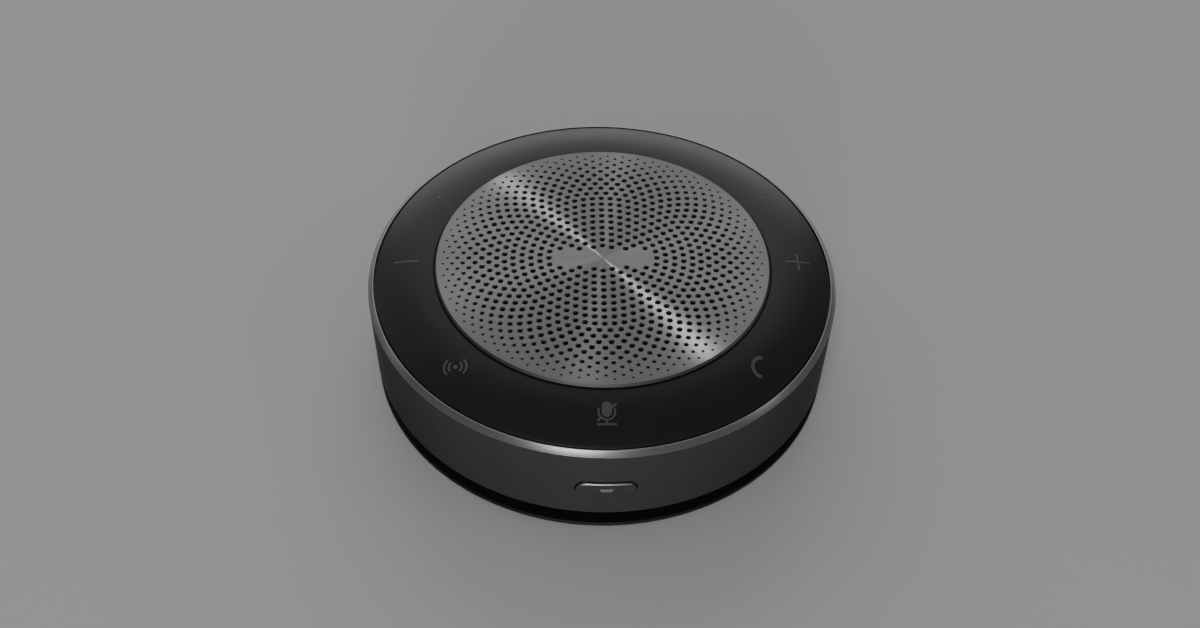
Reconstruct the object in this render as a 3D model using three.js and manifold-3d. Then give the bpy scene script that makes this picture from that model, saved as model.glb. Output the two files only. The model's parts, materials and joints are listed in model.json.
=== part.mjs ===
// Conference speakerphone: a flat round puck. A perforated speaker grille sits inside a domed
// touch ring, a metal band runs round the side with a power button in its front, and the body
// stands on a recessed base with a rubber foot ring.
// Millimetres, +Z up, power button towards -Y, USB-C inlet towards +Y, foot on z = 0.

import * as THREE from 'three';
import { mergeVertices } from 'three/addons/utils/BufferGeometryUtils.js';
import Module from 'manifold-3d';

const wasm = await Module();
wasm.setup();

// ---------- driving dimensions ----------
const gap = 0.3; // clearance between neighbouring pieces
const bodyRadius = 60;
const bodyTop = 32.7; // top of the grille
const footRing = { inner: 46.2, outer: 53.8, high: 0.95 };
const flange = { outer: 59.9, low: 0.6, high: 1.8 }; // the base's thin bottom plate
const baseFloor = 2.4;
const neck = { inner: 53.7, outer: 55.5 }; // the recessed wall between flange and band
const band = { low: 6.4, high: 29, chamferLow: 27.9, rimOuter: 58.75, rimInner: 58.45, inner: 57.6 };
const ringTop = { inner: 43.1, outer: 58.15, high: 31.95, arc: 40, wall: 1.6 };
const grille = { outer: 42.8, plate: 0.8, skirt: 1.3, hole: 0.72 };
const board = { radius: 47, low: 8.3, high: 9.5 };
const chamber = { outer: 50, inner: 48, low: 11.6, floor: 1.2, high: 23.6, flange: 54.3 };
const baffle = { opening: 28.3, outer: 57.2, low: 24.4, high: 26, rib: 0.6 };
const speakerSeat = 26.8; // underside of the speaker's mounting flange
const baseScrews = { circle: 48.5, head: 2.2, shank: 1.1 };
const chamberScrews = { circle: 52.2, head: 1.9, shank: 1 };
const speakerScrews = { circle: 33.5, head: 2.1, shank: 0.95 };
const button = { length: 14.4, height: 4.8, middle: 16.1, proud: 0.6, travel: 0.6 };
const inlet = { length: 11.4, height: 5.6, middle: 11.4 };
const lights = { circle: 50.3, pin: 0.45, angles: [30, 60, 90, 120, 150] };
const leadHole = { x: 34, radius: 2.4 };
const microphoneCircle = 36.3;

const bigTurn = 40; // facets round the outer rings
const midTurn = 20; // facets round the speaker
const smallTurn = 8; // facets round screws, bosses and posts

// ---------- finishes ----------
const finishes = {
  blackPlastic: { color: 0x101012, roughness: 0.55, metalness: 0 },
  satinBlack: { color: 0x1c1c1e, roughness: 0.42, metalness: 0 },
  anodised: { color: 0x2c2d30, roughness: 0.35, metalness: 0.9 },
  turnedMetal: { color: 0x6a6b6e, roughness: 0.32, metalness: 1 },
  rubber: { color: 0x141414, roughness: 0.85, metalness: 0 },
  foam: { color: 0x202022, roughness: 1, metalness: 0 },
  cloth: { color: 0x0c0c0d, roughness: 0.95, metalness: 0 },
  steel: { color: 0x8c8e92, roughness: 0.35, metalness: 1 },
  ferrite: { color: 0x2a2a2c, roughness: 0.7, metalness: 0.2 },
  copper: { color: 0xb4643a, roughness: 0.35, metalness: 1 },
  circuit: { color: 0x12402a, roughness: 0.5, metalness: 0 },
  paper: { color: 0x1a1a1c, roughness: 0.9, metalness: 0 },
  kapton: { color: 0x9a5a1c, roughness: 0.4, metalness: 0 },
  spiderCloth: { color: 0xb08a4a, roughness: 0.95, metalness: 0 },
  battery: { color: 0x9aa0a8, roughness: 0.45, metalness: 0.3 },
  clear: { color: 0xd8dce0, roughness: 0.25, metalness: 0 },
  redWire: { color: 0x9c1f1a, roughness: 0.5, metalness: 0 },
  blackWire: { color: 0x161616, roughness: 0.5, metalness: 0 },
};

// ---------- shape helpers ----------
// A closed solid from a three.js geometry, with its shared corners merged.
function solid(geometry) {
  geometry.deleteAttribute('normal');
  geometry.deleteAttribute('uv');
  const merged = mergeVertices(geometry, 1e-4);
  return new wasm.Manifold(new wasm.Mesh({
    numProp: 3,
    vertProperties: Float32Array.from(merged.attributes.position.array),
    triVerts: Uint32Array.from(merged.index.array),
  }));
}

// The (radius, height) outline, listed anticlockwise, spun about Z. It starts and ends on
// the axis, or closes on itself.
function turned(outline, segments) {
  const points = outline.map(([r, z]) => new THREE.Vector2(r, z));
  if (outline[0][0] > 0) points.push(points[0].clone());
  return solid(new THREE.LatheGeometry(points, segments).rotateX(Math.PI / 2));
}

const tube = (inner, outer, low, high, segments) =>
  turned([[inner, low], [outer, low], [outer, high], [inner, high]], segments);

const disc = (radius, low, high, segments) =>
  turned([[0, low], [radius, low], [radius, high], [0, high]], segments);

const block = (x0, x1, y0, y1, z0, z1) =>
  solid(new THREE.BoxGeometry(x1 - x0, y1 - y0, z1 - z0)
    .translate((x0 + x1) / 2, (y0 + y1) / 2, (z0 + z1) / 2));

// A flat outline in X and Z pushed along Y, from y0 to y1.
function pushedAlongY(shape, y0, y1) {
  const settings = { depth: y1 - y0, bevelEnabled: false, curveSegments: 4 };
  return solid(new THREE.ExtrudeGeometry(shape, settings).rotateX(Math.PI / 2).translate(0, y1, 0));
}

// A slot outline with round ends.
function slotShape(length, height) {
  const r = height / 2;
  const x = length / 2 - r;
  return new THREE.Shape()
    .absarc(x, 0, r, -Math.PI / 2, Math.PI / 2, false)
    .absarc(-x, 0, r, Math.PI / 2, 1.5 * Math.PI, false);
}

// A round wire along a smooth curve through the points.
function wire(points, radius, steps) {
  const section = new THREE.Shape().absarc(0, 0, radius, 0, 2 * Math.PI, false);
  const path = new THREE.CatmullRomCurve3(points.map((p) => new THREE.Vector3(...p)));
  const settings = { extrudePath: path, steps, bevelEnabled: false, curveSegments: 3 };
  return solid(new THREE.ExtrudeGeometry(section, settings));
}

// Positions at equal angles on a circle, as [x, y], from a starting angle in degrees.
function around(count, radius, startDegrees) {
  return Array.from({ length: count }, (_, i) => {
    const angle = THREE.MathUtils.degToRad(startDegrees + (360 * i) / count);
    return [radius * Math.cos(angle), radius * Math.sin(angle)];
  });
}

const corners = (circle) => around(4, circle, 45);
const copies = (body, places) => places.map(([x, y]) => body.translate([x, y, 0]));
const join = (body, others) => others.reduce((sum, other) => sum.add(other), body);
const cut = (body, others) => others.reduce((rest, other) => rest.subtract(other), body);

// Adds a named mesh with its own material to a group.
function piece(group, name, body, finish) {
  const { vertProperties, triVerts } = body.getMesh();
  const geometry = new THREE.BufferGeometry();
  geometry.setAttribute('position', new THREE.BufferAttribute(vertProperties, 3));
  geometry.setIndex(new THREE.BufferAttribute(triVerts, 1));
  const mesh = new THREE.Mesh(geometry, new THREE.MeshStandardMaterial({ ...finish, flatShading: true }));
  mesh.name = name;
  group.add(mesh);
  return mesh;
}

// Four copies of a pan-head screw, numbered, with the head's underside at height.
function screws(group, name, { circle, head, shank }, headHeight, length, height, headBelow) {
  const up = headBelow ? 1 : -1;
  const headEnd = -up * headHeight;
  const tip = up * length;
  const outline = [[0, headEnd], [head, headEnd], [head, 0], [shank, 0], [shank, tip], [0, tip]];
  if (!headBelow) outline.reverse();
  const screw = turned(outline, smallTurn);
  corners(circle).forEach(([x, y], i) => {
    piece(group, `${name}_${i + 1}`, screw, finishes.steel).position.set(x, y, height);
  });
}

// ---------- base ----------
const footGroove = { inner: footRing.inner - 0.2, outer: footRing.outer + 0.2, roof: footRing.high + gap };
const bossTop = board.low - gap;

// Bottom plate, floor and recessed neck, with a groove for the foot ring and four screw bosses
// whose heads sit under the foot.
function baseCover() {
  const edge = 0.35;
  const shell = turned([
    [0, flange.low], [footGroove.inner, flange.low], [footGroove.inner, footGroove.roof],
    [footGroove.outer, footGroove.roof], [footGroove.outer, flange.low],
    [flange.outer - edge, flange.low], [flange.outer, flange.low + edge],
    [flange.outer, flange.high - edge], [flange.outer - edge, flange.high],
    [neck.outer, flange.high], [neck.outer, band.low - gap], [neck.inner, band.low - gap],
    [neck.inner, baseFloor], [0, baseFloor],
  ], bigTurn);
  const places = corners(baseScrews.circle);
  const boss = disc(3.2, baseFloor - 0.5, bossTop, smallTurn);
  const shankHole = disc(baseScrews.shank + gap, flange.low, bossTop + 1, smallTurn);
  const headHole = disc(baseScrews.head + gap, flange.low, 3.05, smallTurn);
  return cut(join(shell, copies(boss, places)), [
    ...copies(shankHole, places), ...copies(headHole, places),
  ]);
}

// ---------- side band ----------
// Turned metal ring: outer wall, polished top chamfer and rim, an inner rib under the baffle and
// a bottom ledge on the neck, with the button's slot in front and the inlet's slot behind.
function sideBand() {
  const ring = turned([
    [52.5, band.low], [bodyRadius - 0.4, band.low], [bodyRadius, band.low + 0.4],
    [bodyRadius, band.chamferLow], [band.rimOuter, band.high], [band.rimInner, band.high],
    [band.rimInner, 27.4], [band.inner, 27.4], [band.inner, baffle.low - gap],
    [55.8, baffle.low - gap], [55.8, 22.9], [band.inner, 22], [band.inner, 8], [52.5, 8],
  ], bigTurn);
  const slot = slotShape(button.length + 2 * gap, button.height + 2 * gap);
  const inletSlot = slotShape(inlet.length, inlet.height);
  return cut(ring, [
    pushedAlongY(slot, -62, -50).translate([0, 0, button.middle]),
    pushedAlongY(inletSlot, 50, 62).translate([0, 0, inlet.middle]),
  ]);
}

// ---------- electronics ----------
// Round main board with tongues for the power switch and the inlet, four notches for the screw
// posts, and its soldered chips.
function mainBoard() {
  const { radius, low, high } = board;
  const shape = join(disc(radius, low, high, midTurn), [
    block(-9, 9, 40, 55.5, low, high), block(-8, 8, -54, -40, low, high),
    block(12, 20, 6, 14, high - 0.1, high + 1), block(6, 18, -20, -10, high - 0.1, high + 1.2),
    block(-30, -24, -18, -12, high - 0.1, high + 1), block(28, 36, -6, -2, high - 0.1, high + 0.6),
  ]);
  return cut(shape, copies(disc(3.4, low - 1, high + 1, smallTurn), corners(baseScrews.circle)));
}

// USB-C receptacle shell: a flat tube, open towards the back of the case.
function inletShell() {
  const outer = slotShape(9, 3.2);
  const inner = slotShape(8.4, 2.6);
  const body = cut(pushedAlongY(outer, 50.5, 57.4), [pushedAlongY(inner, 51.5, 58)]);
  return body.translate([0, 0, inlet.middle]);
}

// Flat ribbon from the main board, out under the chamber and up to the touch board.
function ribbonCable() {
  const out = -53.75;
  const low = board.high + gap;
  return join(block(out, -44, -4, 4, low, low + 0.3), [block(out, out + 0.3, -4, 4, low, 26.65)]);
}

// ---------- acoustic chamber and baffle ----------
// Sealed tub behind the speaker, with a flange for the baffle, screw posts underneath and a hole
// for the speaker leads.
function acousticChamber() {
  const { outer, inner, low, floor, high, flange: lip } = chamber;
  const tub = turned([
    [0, low], [outer, low], [outer, high - 1], [lip, high - 1], [lip, high], [inner, high],
    [inner, low + floor], [0, low + floor],
  ], bigTurn);
  const places = corners(baseScrews.circle);
  const post = disc(3, board.low, low + 0.5, smallTurn);
  const pilot = disc(baseScrews.shank + gap, board.low - 1, low + 0.6, smallTurn);
  const leadWay = disc(leadHole.radius, low - 1, low + floor + 1, smallTurn).translate([leadHole.x, 0, 0]);
  const flangeHole = disc(chamberScrews.shank + gap, high - 2, high + 1, smallTurn);
  const ribbonNotch = block(-56, -52.9, -4.6, 4.6, high - 2, high + 1);
  return cut(join(tub, copies(post, places)), [
    ...copies(pilot, places), ...copies(flangeHole, corners(chamberScrews.circle)), leadWay, ribbonNotch,
  ]);
}

// Flat ring that carries the speaker and the touch board, with two support ribs, four bosses
// for the speaker's screws and a slot for the ribbon.
function speakerBaffle() {
  const { opening, outer, low, high, rib } = baffle;
  const plate = turned([
    [opening, low], [outer, low], [outer, high], [53.4, high], [53.4, high + rib],
    [51, high + rib], [51, high], [47.4, high], [47.4, high + rib], [46, high + rib],
    [46, high], [opening, high],
  ], bigTurn);
  const boss = disc(2.7, 21.8, low + 0.5, smallTurn);
  const pilot = disc(speakerScrews.shank + gap, 22.5, high + 1, smallTurn);
  const chamberPilot = disc(chamberScrews.shank + gap, low - 1, high + rib - 0.3, smallTurn);
  const places = corners(speakerScrews.circle);
  return cut(join(plate, copies(boss, places)), [
    ...copies(pilot, places), ...copies(chamberPilot, corners(chamberScrews.circle)),
    block(-54.5, -52.7, -4.6, 4.6, low - 1, high + 2),
  ]);
}

// Rubber sleeve that seals the speaker leads through the chamber's floor.
function leadGrommet() {
  const low = chamber.low;
  const high = chamber.low + chamber.floor;
  return turned([
    [1.4, low - 0.9], [2.1, low - 0.9], [2.1, high + gap], [3.3, high + gap], [3.3, high + 1],
    [1.4, high + 1],
  ], smallTurn).translate([leadHole.x, 0, 0]);
}

// ---------- speaker, in its own frame: z = 0 is the underside of its mounting flange ----------
function speakerBasket() {
  const frame = turned([
    [11, -4.5], [17.8, -4.5], [27, -1.2], [27, 0], [32.5, 0], [32.5, 1], [26, 1], [26, -0.6],
    [17.2, -3.5], [11, -3.5],
  ], midTurn);
  const ear = disc(3.3, 0, 1, smallTurn);
  const hole = disc(speakerScrews.shank + gap, -1, 2, smallTurn);
  const window = disc(2.7, -6, 0, smallTurn);
  const places = corners(speakerScrews.circle);
  return cut(join(frame, copies(ear, places)), [
    ...copies(hole, places), ...copies(window, around(8, 22.3, 22.5)),
  ]);
}

// Steel back plate with a vented pole in the coil.
const speakerYoke = () => turned([
  [2.2, -13.7], [17, -13.7], [17, -11.5], [7.7, -11.5], [7.7, -4.2], [2.2, -4.2],
], midTurn);

// Thin sheet turned from a line of (radius, height) points, upper side thickness above the lower.
function turnedSheet(line, thickness) {
  const upper = line.map(([r, z]) => [r, z + thickness]).reverse();
  return turned([...line, ...upper], midTurn);
}

// Shallow paper cone, its wall bowed a little.
function speakerCone() {
  const steps = 3;
  const line = Array.from({ length: steps + 1 }, (_, i) => {
    const t = i / steps;
    return [8.6 + 15.4 * t, -1.9 + 2.4 * t + 0.3 * Math.sin(Math.PI * t)];
  });
  return turnedSheet(line, 0.5);
}

// Corrugated centring disc between the coil former and the basket.
function spider() {
  const waves = Array.from({ length: 6 }, (_, i) => [8.6 + 1.1 * i, i % 2 ? -2.3 : -2.95]);
  return turnedSheet([...waves, [14.9, -3.2], [16.8, -3.2]], 0.3);
}

// Domed cap over the coil.
function dustCap() {
  const radius = 9.8;
  const steps = 4;
  const line = Array.from({ length: steps + 1 }, (_, i) => {
    const r = (radius * i) / steps;
    return [r, -0.9 + 2.1 * (1 - (r / radius) ** 2)];
  });
  return turnedSheet(line, 0.3);
}

// Half-roll rubber edge between the cone and the basket's flange.
function surround() {
  const middle = 26.2;
  const steps = 5;
  const arc = (radius) => Array.from({ length: steps + 1 }, (_, i) => {
    const angle = Math.PI * (1 - i / steps);
    return [middle + radius * Math.cos(angle), 1.25 + radius * Math.sin(angle)];
  });
  const upper = arc(2.4).map(([r, z]) => [r, Math.max(z, 1.6)]);
  return turned([
    [22.7, 1.25], ...arc(2.05), [30.9, 1.25], [30.9, 1.6], ...upper.reverse(), [22.7, 1.6],
  ], midTurn);
}

// ---------- touch ring and grille ----------
// Height of the ring's domed top at a radius: an arc that is level at the grille.
const ringHeight = (r) =>
  ringTop.high - ringTop.arc + Math.sqrt(ringTop.arc ** 2 - (r - ringTop.inner) ** 2);

// Domed plastic ring with a shelf for the grille and holes for the light guide's pins.
function touchRing() {
  const shelf = { inner: 39.8, low: 29.6, high: 30.6 };
  const steps = 5;
  const top = Array.from({ length: steps + 1 }, (_, i) => {
    const r = ringTop.outer + ((ringTop.inner - ringTop.outer) * i) / steps;
    return [r, ringHeight(r)];
  });
  const under = [44.4, 50.5, 56.6].map((r) => [r, ringHeight(r) - ringTop.wall]);
  const ring = turned([
    [shelf.inner, shelf.low], [under[0][0], shelf.low], ...under, [56.6, 27.7], [ringTop.outer, 27.7],
    ...top, [ringTop.inner, shelf.high], [shelf.inner, shelf.high],
  ], bigTurn);
  const pinHole = disc(lights.pin + gap, 28, 33, 8);
  return cut(ring, copies(pinHole, lightPlaces()));
}

const lightPlaces = () => lights.angles.map((angle) => around(1, lights.circle, angle)[0]);

// Clear arc that carries light from the touch board to five pins flush with the ring's top.
function lightGuide() {
  const low = 28.6;
  const high = 29.1;
  const start = THREE.MathUtils.degToRad(lights.angles[0] - 3);
  const end = THREE.MathUtils.degToRad(lights.angles.at(-1) + 3);
  const shape = new THREE.Shape()
    .absarc(0, 0, lights.circle + 1.3, start, end, false)
    .absarc(0, 0, lights.circle - 1.3, end, start, true);
  const settings = { depth: high - low, bevelEnabled: false, curveSegments: 8 };
  const arc = solid(new THREE.ExtrudeGeometry(shape, settings).translate(0, 0, low));
  const pin = disc(lights.pin, low + 0.2, ringHeight(lights.circle) - 0.05, 8);
  return join(arc, copies(pin, lightPlaces()));
}

// Touch-sensing ring board with a small light for each pin.
function touchBoard() {
  const plate = tube(44.7, 54.5, 26.9, 27.9, midTurn);
  return join(plate, copies(block(-0.8, 0.8, -0.5, 0.5, 27.8, 28.3), lightPlaces()));
}

// Turned metal disc with a short skirt and rings of round holes.
function speakerGrille() {
  const low = bodyTop - grille.plate;
  const chamfer = 0.2;
  const plate = turned([
    [0, low], [grille.outer - 1, low], [grille.outer - 1, bodyTop - grille.skirt],
    [grille.outer, bodyTop - grille.skirt], [grille.outer, bodyTop - chamfer],
    [grille.outer - chamfer, bodyTop], [0, bodyTop],
  ], bigTurn);
  const rings = [[11.5, 6], [23, 12], [34.15, 16]];
  const hole = disc(grille.hole, low - 1, bodyTop + 1, 6);
  const places = rings.flatMap(([radius, count]) => around(count, radius, 90 + 180 / count));
  return cut(plate, copies(hole, places));
}

// ---------- power button, in its own frame: z = 0 is the middle of the button ----------
// Cap with a front face that follows the band, a retaining flange behind the wall and a plunger.
function powerButton() {
  const face = disc(bodyRadius + button.proud, -10, 10, 90);
  const cap = pushedAlongY(slotShape(button.length, button.height), -62, -56).intersect(face);
  const holder = pushedAlongY(slotShape(button.length + 2.4, button.height + 2.4), -56.4, -55.6);
  const plunger = pushedAlongY(slotShape(3, 2), -55.8, -55.05);
  return cut(join(cap, [holder, plunger]), [pushedAlongY(windowShape(gap / 2), -62, -58)]);
}

// Small trapezoid outline of the button's light, grown by a margin.
function windowShape(margin) {
  const top = 1.75 + margin;
  const bottom = 1.3 + margin;
  const half = 0.5 + margin;
  return new THREE.Shape([
    new THREE.Vector2(-bottom, -half), new THREE.Vector2(bottom, -half),
    new THREE.Vector2(top, half), new THREE.Vector2(-top, half),
  ]);
}

// Push switch standing on its own small board behind the button.
function powerSwitch() {
  const body = block(-3, 3, -53.4, -51.3, button.middle - 3, button.middle + 3);
  return join(body, [block(-1.2, 1.2, -54.3, -53.3, button.middle - 1, button.middle + 1)]);
}

// ---------- assembly ----------
const speakerphone = new THREE.Group();
const lowerCase = new THREE.Group();
const electronics = new THREE.Group();
const acoustics = new THREE.Group();
const speaker = new THREE.Group();
const topPanel = new THREE.Group();
const buttonGroup = new THREE.Group();
speaker.position.z = speakerSeat;
buttonGroup.position.z = button.middle;
acoustics.add(speaker);
speakerphone.add(lowerCase, electronics, acoustics, topPanel, buttonGroup);

piece(lowerCase, 'foot_ring',
  tube(footRing.inner, footRing.outer, 0, footRing.high, bigTurn), finishes.rubber);
piece(lowerCase, 'base_cover', baseCover(), finishes.blackPlastic);
piece(lowerCase, 'side_band', sideBand(), finishes.anodised);
screws(lowerCase, 'base_screw', baseScrews, 1.2, 9.1, 2.75, true);

piece(electronics, 'battery_pad', block(-26, 26, -18, 18, baseFloor + 0.2, baseFloor + 0.6), finishes.foam);
piece(electronics, 'battery', block(-28, 28, -20, 20, baseFloor + 0.8, board.low - 0.5), finishes.battery);
piece(electronics, 'battery_lead',
  wire([[28.4, 12, 5.6], [32, 12, 5.3], [36, 12, 5.8], [37.5, 12, 7.7]], 0.7, 8), finishes.redWire);
piece(electronics, 'main_board', mainBoard(), finishes.circuit);
piece(electronics, 'shield_can', block(-20, 2, -8, 12, board.high + gap, 11), finishes.steel);
piece(electronics, 'usb_c_shell', inletShell(), finishes.steel);
piece(electronics, 'usb_c_tongue',
  block(-3.3, 3.3, 51.8, 56.9, inlet.middle - 0.35, inlet.middle + 0.35), finishes.blackPlastic);
piece(electronics, 'ribbon_cable', ribbonCable(), finishes.kapton);
piece(electronics, 'switch_board',
  block(-7, 7, -51, -50.4, board.high + gap, button.middle + 4), finishes.circuit);
piece(electronics, 'power_switch', powerSwitch(), finishes.blackPlastic);

piece(acoustics, 'acoustic_chamber', acousticChamber(), finishes.blackPlastic);
piece(acoustics, 'chamber_gasket', tube(48.6, 50.6, 23.8, 24.2, bigTurn), finishes.foam);
piece(acoustics, 'speaker_baffle', speakerBaffle(), finishes.blackPlastic);
piece(acoustics, 'speaker_gasket', tube(29, 31.7, 26.2, 26.6, midTurn), finishes.foam);
piece(acoustics, 'lead_grommet', leadGrommet(), finishes.rubber);
screws(acoustics, 'chamber_screw', chamberScrews, 1.5, 3.6, 22.3, true);
['red', 'black'].forEach((colour, i) => {
  const y = i ? -0.65 : 0.65;
  const route = [
    [24.4, 3 * y, 23.8], [26, 3 * y, 22], [33, y, 17], [leadHole.x, y, 14],
    [leadHole.x, y, board.high + gap],
  ];
  piece(acoustics, `speaker_lead_${colour}`, wire(route, 0.4, 12), finishes[`${colour}Wire`]);
});

piece(speaker, 'speaker_basket', speakerBasket(), finishes.blackPlastic);
piece(speaker, 'speaker_yoke', speakerYoke(), finishes.steel);
piece(speaker, 'speaker_magnet', tube(10.5, 16.5, -11.2, -7.2, midTurn), finishes.ferrite);
piece(speaker, 'speaker_top_plate', tube(9.35, 17, -6.9, -4.8, midTurn), finishes.steel);
piece(speaker, 'coil_former', tube(8, 8.25, -7.9, -1.2, midTurn), finishes.kapton);
piece(speaker, 'voice_coil', tube(8.35, 9, -7.7, -3.9, midTurn), finishes.copper);
piece(speaker, 'spider', spider(), finishes.spiderCloth);
piece(speaker, 'speaker_cone', speakerCone(), finishes.paper);
piece(speaker, 'dust_cap', dustCap(), finishes.paper);
piece(speaker, 'surround', surround(), finishes.rubber);
screws(speaker, 'speaker_screw', speakerScrews, 1.2, 5.2, 1.3, false);

piece(topPanel, 'touch_board', touchBoard(), finishes.circuit);
piece(topPanel, 'light_guide', lightGuide(), finishes.clear);
piece(topPanel, 'touch_ring', touchRing(), finishes.satinBlack);
piece(topPanel, 'grille_adhesive', tube(40.2, 42.4, 30.85, 31.15, midTurn), finishes.foam);
piece(topPanel, 'grille_cloth', disc(41.3, 31.45, 31.65, midTurn), finishes.cloth);
piece(topPanel, 'grille', speakerGrille(), finishes.turnedMetal);
piece(topPanel, 'microphone_boot', turned([
  [2.3, 26.3], [2.9, 26.3], [2.9, 30.4], [0.8, 30.4], [0.8, 29.4], [2.3, 29.4],
], smallTurn), finishes.rubber).position.y = -microphoneCircle;
piece(topPanel, 'microphone',
  disc(2, 26.5, 29.1, smallTurn), finishes.steel).position.y = -microphoneCircle;

piece(buttonGroup, 'power_button', powerButton(), finishes.anodised);
piece(buttonGroup, 'button_light_window', pushedAlongY(windowShape(0), -60.45, -58.3), finishes.clear);

export default speakerphone;
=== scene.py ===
# Conference speakerphone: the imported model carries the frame, and this script gives it its surfaces.
# The visible shells are worked out as numpy surfaces in metres, in the frame's own axes.
import json
import math

import bmesh
import bpy
import numpy as np
from mathutils import Matrix, Vector
from mathutils.geometry import delaunay_2d_cdt


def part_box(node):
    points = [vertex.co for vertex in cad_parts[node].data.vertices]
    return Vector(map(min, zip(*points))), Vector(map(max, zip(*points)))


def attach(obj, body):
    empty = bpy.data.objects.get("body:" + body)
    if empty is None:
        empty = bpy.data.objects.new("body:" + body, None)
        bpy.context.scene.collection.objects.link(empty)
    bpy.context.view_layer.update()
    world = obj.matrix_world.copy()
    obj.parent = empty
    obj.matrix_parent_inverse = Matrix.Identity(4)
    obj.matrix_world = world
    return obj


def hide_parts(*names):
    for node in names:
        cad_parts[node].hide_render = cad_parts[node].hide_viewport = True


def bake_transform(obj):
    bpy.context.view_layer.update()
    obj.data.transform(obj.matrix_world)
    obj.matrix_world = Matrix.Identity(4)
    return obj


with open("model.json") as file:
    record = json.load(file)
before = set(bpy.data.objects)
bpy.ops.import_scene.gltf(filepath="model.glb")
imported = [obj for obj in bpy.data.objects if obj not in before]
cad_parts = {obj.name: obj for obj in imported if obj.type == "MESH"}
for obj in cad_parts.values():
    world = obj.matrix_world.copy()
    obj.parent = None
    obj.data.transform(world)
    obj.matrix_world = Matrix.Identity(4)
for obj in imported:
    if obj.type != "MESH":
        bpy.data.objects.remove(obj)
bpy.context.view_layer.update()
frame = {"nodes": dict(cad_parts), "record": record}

mm = 0.001
turn = 2 * np.pi
bandLow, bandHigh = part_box("side_band")
ringLow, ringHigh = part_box("touch_ring")
grilleLow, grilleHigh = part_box("grille")
baseLow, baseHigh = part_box("base_cover")
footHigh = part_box("foot_ring")[1]
buttonLow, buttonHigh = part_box("power_button")
bodyRadius = bandHigh.x
aroundBody = 360         # points round each large circle, one a degree
print("frame loaded:", len(frame["nodes"]), "nodes")


camera = {
    "lens": 37.9,          # on a 36 mm wide sensor
    "distance": 0.32574,   # from the aim point
    "elevation": 46.494,   # degrees above the table
    "azimuth": 2.123,      # degrees round to the left of the power button
    "roll": 1.498,         # degrees, about its own line of sight
    "aimRight": -0.34 * mm,
    "aimUp": -11.74 * mm,  # from the middle of the band's top
}


def addCamera():
    # The camera looks along forward from aim - forward * distance, turned about forward by the roll.
    tilt, swing, roll = (math.radians(camera[k]) for k in ("elevation", "azimuth", "roll"))
    aside = Matrix.Rotation(-swing, 3, "Z")
    forward = aside @ Vector((0, math.cos(tilt), -math.sin(tilt)))
    up = aside @ Vector((0, math.sin(tilt), math.cos(tilt)))
    right = aside @ Vector((1, 0, 0))
    aim = Vector((0, 0, bandHigh.z)) + right * camera["aimRight"] + up * camera["aimUp"]
    across = right * math.cos(roll) + up * math.sin(roll)
    upward = up * math.cos(roll) - right * math.sin(roll)
    data = bpy.data.cameras.new("camera")
    data.lens, data.sensor_width = camera["lens"], 36
    data.clip_start, data.clip_end = 0.01, 20
    holder = bpy.data.objects.new("camera", data)
    holder.matrix_world = Matrix.Translation(aim - forward * camera["distance"]) @ Matrix(
        (across, upward, -forward)).transposed().to_4x4()
    bpy.context.scene.collection.objects.link(holder)
    bpy.context.scene.camera = holder


# Each softbox: azimuth and elevation of its place as seen from the object, in degrees, with 0 along
# +X and 90 behind, then its distance, width and height in metres and its power in watts.
softboxes = {
    "backLow": (90, 8, 1.4, 1.6, 0.35, 2.9),
    "backMiddle": (90, 24, 1.4, 1.6, 0.40, 1.6),
    "backHigh": (90, 42, 1.4, 1.0, 0.45, 0.85),
    "backLeft": (145, 28, 1.4, 0.5, 0.90, 0.5),
    "frontKey": (-104, 51, 1.2, 0.28, 0.22, 1.6),
    "rightKey": (-12, 36, 1.4, 0.25, 0.25, 0.2),
    "leftKey": (167, 22, 1.4, 0.25, 0.25, 0.05),
    "bandKey": (-98, 10, 1.4, 0.45, 0.25, 4.0),
}
# The spot is snooted down to the grille, which draws it out into the streak across the turning marks.
spot = {
    "azimuth": 8, "elevation": 57, "distance": 1.5,
    "radius": 0.006,       # metres
    "power": 27.0,         # watts
    "cone": 3.3,           # degrees
    "blend": 0.10,
}
world = {"colour": (0.83, 0.83, 0.85), "strength": 0.15}
floor = {
    "half": 2.5,           # metres, half its width
    "colour": (0.90, 0.90, 0.905),
    "paler": 1.03,         # how much paler its light patches are
}


def placeLamp(data, azimuth, elevation, distance, target):
    # The lamp stands at target + distance (cos a cos e, sin a cos e, sin e) and faces the target.
    a, e = math.radians(azimuth), math.radians(elevation)
    away = Vector((math.cos(a) * math.cos(e), math.sin(a) * math.cos(e), math.sin(e)))
    lamp = bpy.data.objects.new(data.name, data)
    lamp.location = target + away * distance
    lamp.rotation_mode = "QUATERNION"
    lamp.rotation_quaternion = away.to_track_quat("Z", "Y")
    lamp.visible_camera = False
    bpy.context.scene.collection.objects.link(lamp)


def addLights():
    for name, (azimuth, elevation, distance, width, height, power) in softboxes.items():
        data = bpy.data.lights.new(name, "AREA")
        data.shape, data.size, data.size_y, data.energy = "RECTANGLE", width, height, power
        placeLamp(data, azimuth, elevation, distance, Vector((0, 0, 0)))
    data = bpy.data.lights.new("grilleSpot", "SPOT")
    data.energy, data.shadow_soft_size = spot["power"], spot["radius"]
    data.spot_size, data.spot_blend = math.radians(spot["cone"]), spot["blend"]
    placeLamp(data, spot["azimuth"], spot["elevation"], spot["distance"], Vector((0, 0, grilleHigh.z)))
    sky = bpy.data.worlds.new("studio")
    sky.use_nodes = True
    background = sky.node_tree.nodes["Background"]
    background.inputs["Color"].default_value = (*world["colour"], 1)
    background.inputs["Strength"].default_value = world["strength"]
    bpy.context.scene.world = sky


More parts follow.
